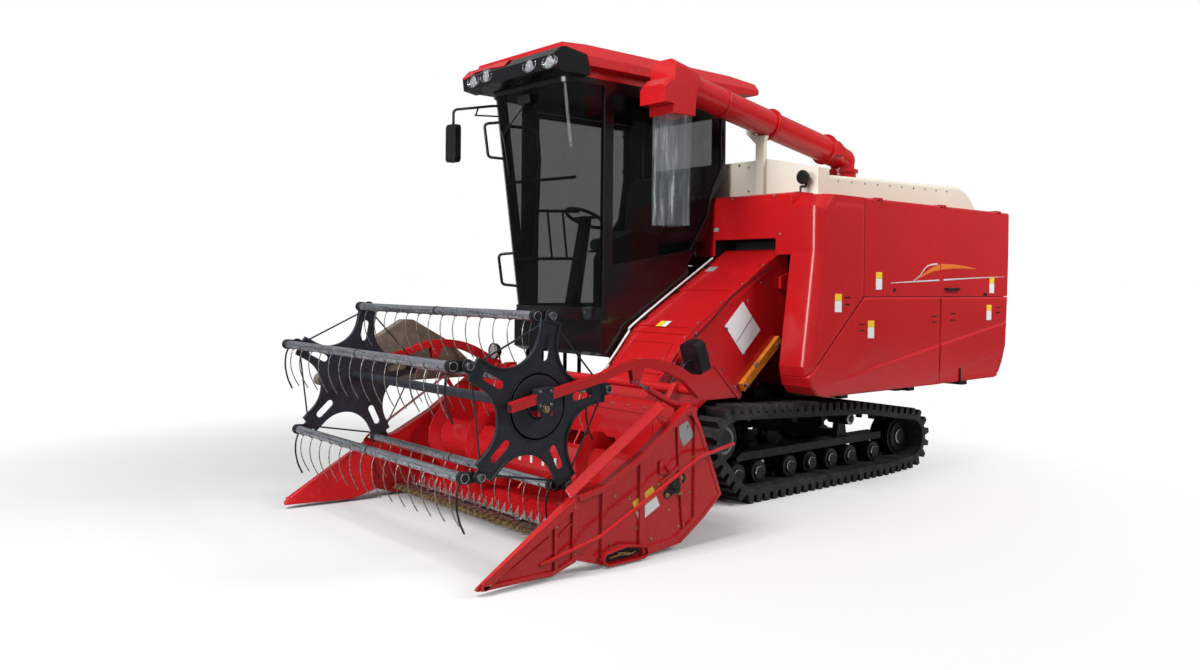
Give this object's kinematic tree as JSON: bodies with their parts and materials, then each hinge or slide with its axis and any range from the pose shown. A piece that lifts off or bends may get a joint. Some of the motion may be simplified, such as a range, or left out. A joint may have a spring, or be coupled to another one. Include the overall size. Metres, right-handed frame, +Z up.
{
  "type": "tracked combine harvester",
  "caption": "Tracked combine harvester with glazed cab, lifting cutter header, spinning tined reel, cross auger and a swinging grain unloading tube.",
  "frame": {"origin": "on the ground at the middle of the bounding box", "axes": "+Z up, -Y the way it drives with the header in front, +X its left side"},
  "size_m": [2.896, 6.2443, 3.3926],
  "materials": {
    "clear_lens": "clear lens",
    "clear_sheet": "clear flexible sheet",
    "fabric": "woven seat cloth",
    "galvanised": "zinc coated",
    "painted_amber": "satin amber paint",
    "painted_cream": "satin cream paint",
    "painted_dark": "satin black paint",
    "painted_red": "glossy red paint",
    "painted_slate": "satin slate paint",
    "plastic": "moulded black plastic",
    "rubber": "matte black rubber",
    "steel": "worn bright steel",
    "tinted_glass": "dark tinted glass"
  },
  "bodies": {
    "machine": {"cab_base": "painted_dark", "cab_floor": "rubber", "cab_frame": "painted_dark", "cab_glass": "tinted_glass", "cab_roof": "painted_red", "cab_steps": "painted_dark", "chassis_frame": "painted_dark", "control_console": "plastic", "engine": "painted_dark", "front_hood": "painted_red", "front_side_cover": "painted_red", "grab_handles": "painted_dark", "grain_tank": "painted_cream", "left_track": "rubber", "left_track_frame": "painted_dark", "left_track_wheels": "steel", "lower_side_panels": "painted_red", "operator_seat": "fabric", "rear_hood": "painted_red", "right_side_panels": "painted_red", "right_track": "rubber", "right_track_frame": "painted_dark", "right_track_wheels": "steel", "roof_visor": "painted_dark", "side_lamp": "plastic", "side_mirror": "plastic", "threshing_body": "painted_red", "tube_cradle": "painted_cream", "unload_base": "painted_red", "work_lamps": "clear_lens"},
    "feeder_and_header": {"feeder_house": "painted_red", "lock_bar": "painted_amber", "header_mirror": "plastic", "header_frame": "painted_red", "crop_dividers": "painted_red", "cutterbar": "steel"},
    "auger": {"header_auger": "painted_red"},
    "knife_bar": {"knife": "steel"},
    "lift_barrel": {"lift_barrel": "painted_dark"},
    "lift_rod": {"lift_rod": "steel"},
    "reel_arms": {"reel_arms": "painted_red", "belt_guard": "painted_cream"},
    "reel_barrels": {"reel_barrels": "painted_red"},
    "reel_rods": {"reel_rods": "steel"},
    "reel": {"reel_core": "painted_slate"},
    "bat_1": {"reel_bat_1": "galvanised"},
    "bat_2": {"reel_bat_2": "galvanised"},
    "bat_3": {"reel_bat_3": "galvanised"},
    "bat_4": {"reel_bat_4": "galvanised"},
    "bat_5": {"reel_bat_5": "galvanised"},
    "cab_door": {"cab_door": "painted_dark", "door_glass": "tinted_glass"},
    "engine_door": {"engine_door": "painted_red"},
    "upper_side_door": {"upper_side_door": "painted_red"},
    "unload_elbow": {"unload_elbow": "painted_red"},
    "unload_tube": {"unload_tube": "painted_red", "unload_spout": "painted_red", "spout_sleeve": "clear_sheet"}
  },
  "joints": [
    {"name": "header_lift", "type": "hinge", "parent": "machine", "child": "feeder_and_header", "pos_m": [0, 0.23, 1.64], "axis": [-1, 0, 0], "range_deg": [0, 22]},
    {"name": "lift_barrel_pivot", "type": "hinge", "parent": "machine", "child": "lift_barrel", "pos_m": [0.23, 0.33, 0.806], "axis": [-1, 0, 0], "range_deg": [0, 20.5]},
    {"name": "lift_rod_slide", "type": "slide", "parent": "lift_barrel", "child": "lift_rod", "axis": [0, -0.9878, -0.1557], "range_m": [0, 0.33]},
    {"name": "auger_spin", "type": "hinge", "parent": "feeder_and_header", "child": "auger", "pos_m": [0, -1.765, 0.402], "axis": [1, 0, 0], "continuous": true},
    {"name": "knife_slide", "type": "slide", "parent": "feeder_and_header", "child": "knife_bar", "axis": [1, 0, 0], "range_m": [-0.0381, 0.0381]},
    {"name": "reel_lift", "type": "hinge", "parent": "feeder_and_header", "child": "reel_arms", "pos_m": [0, -1.328, 0.937], "axis": [-1, 0, 0], "range_deg": [0, 15]},
    {"name": "reel_barrel_pivot", "type": "hinge", "parent": "feeder_and_header", "child": "reel_barrels", "pos_m": [0, -1.54, 0.858], "axis": [-1, 0, 0], "range_deg": [0, 20.5]},
    {"name": "reel_rod_slide", "type": "slide", "parent": "reel_barrels", "child": "reel_rods", "axis": [0, -0.8969, 0.4423], "range_m": [0, 0.055]},
    {"name": "reel_spin", "type": "hinge", "parent": "reel_arms", "child": "reel", "pos_m": [0, -2.585, 0.935], "axis": [1, 0, 0], "continuous": true},
    {"name": "bat_1_pivot", "type": "hinge", "parent": "reel", "child": "bat_1", "pos_m": [0, -2.49031, 1.43613], "axis": [1, 0, 0], "continuous": true},
    {"name": "bat_2_pivot", "type": "hinge", "parent": "reel", "child": "bat_2", "pos_m": [0, -3.03234, 1.17991], "axis": [1, 0, 0], "continuous": true},
    {"name": "bat_3_pivot", "type": "hinge", "parent": "reel", "child": "bat_3", "pos_m": [0, -2.95616, 0.58523], "axis": [1, 0, 0], "continuous": true},
    {"name": "bat_4_pivot", "type": "hinge", "parent": "reel", "child": "bat_4", "pos_m": [0, -2.36705, 0.47392], "axis": [1, 0, 0], "continuous": true},
    {"name": "bat_5_pivot", "type": "hinge", "parent": "reel", "child": "bat_5", "pos_m": [0, -2.07913, 0.9998], "axis": [1, 0, 0], "continuous": true},
    {"name": "cab_door_hinge", "type": "hinge", "parent": "machine", "child": "cab_door", "pos_m": [-1.124, 0.1075, 2.8], "axis": [0, 0, -1], "range_deg": [0, 80]},
    {"name": "engine_door_hinge", "type": "hinge", "parent": "machine", "child": "engine_door", "pos_m": [-1.062, 0.9, 1.17], "axis": [0, 0, -1], "range_deg": [0, 90]},
    {"name": "upper_side_door_hinge", "type": "hinge", "parent": "machine", "child": "upper_side_door", "pos_m": [1.05, 1.85, 2.318], "axis": [0, -1, 0], "range_deg": [0, 75]},
    {"name": "unload_swing", "type": "hinge", "parent": "machine", "child": "unload_elbow", "pos_m": [0.3, 1.43, 2.64], "axis": [0, 0, 1], "range_deg": [0, 105]},
    {"name": "unload_lift", "type": "hinge", "parent": "unload_elbow", "child": "unload_tube", "pos_m": [0.3, 1.27, 2.796], "axis": [-1, 0, 0], "range_deg": [0, 15]}
  ],
  "couplings": [
    {"joint": "lift_barrel_pivot", "follows": "header_lift", "ratio": 0.9084},
    {"joint": "lift_rod_slide", "follows": "header_lift", "m_per_rad": 0.83415},
    {"joint": "reel_barrel_pivot", "follows": "reel_lift", "ratio": 1.3051},
    {"joint": "reel_rod_slide", "follows": "reel_lift", "m_per_rad": 0.18494},
    {"joint": "bat_1_pivot", "follows": "reel_spin", "ratio": -1},
    {"joint": "bat_2_pivot", "follows": "reel_spin", "ratio": -1},
    {"joint": "bat_3_pivot", "follows": "reel_spin", "ratio": -1},
    {"joint": "bat_4_pivot", "follows": "reel_spin", "ratio": -1},
    {"joint": "bat_5_pivot", "follows": "reel_spin", "ratio": -1}
  ]
}
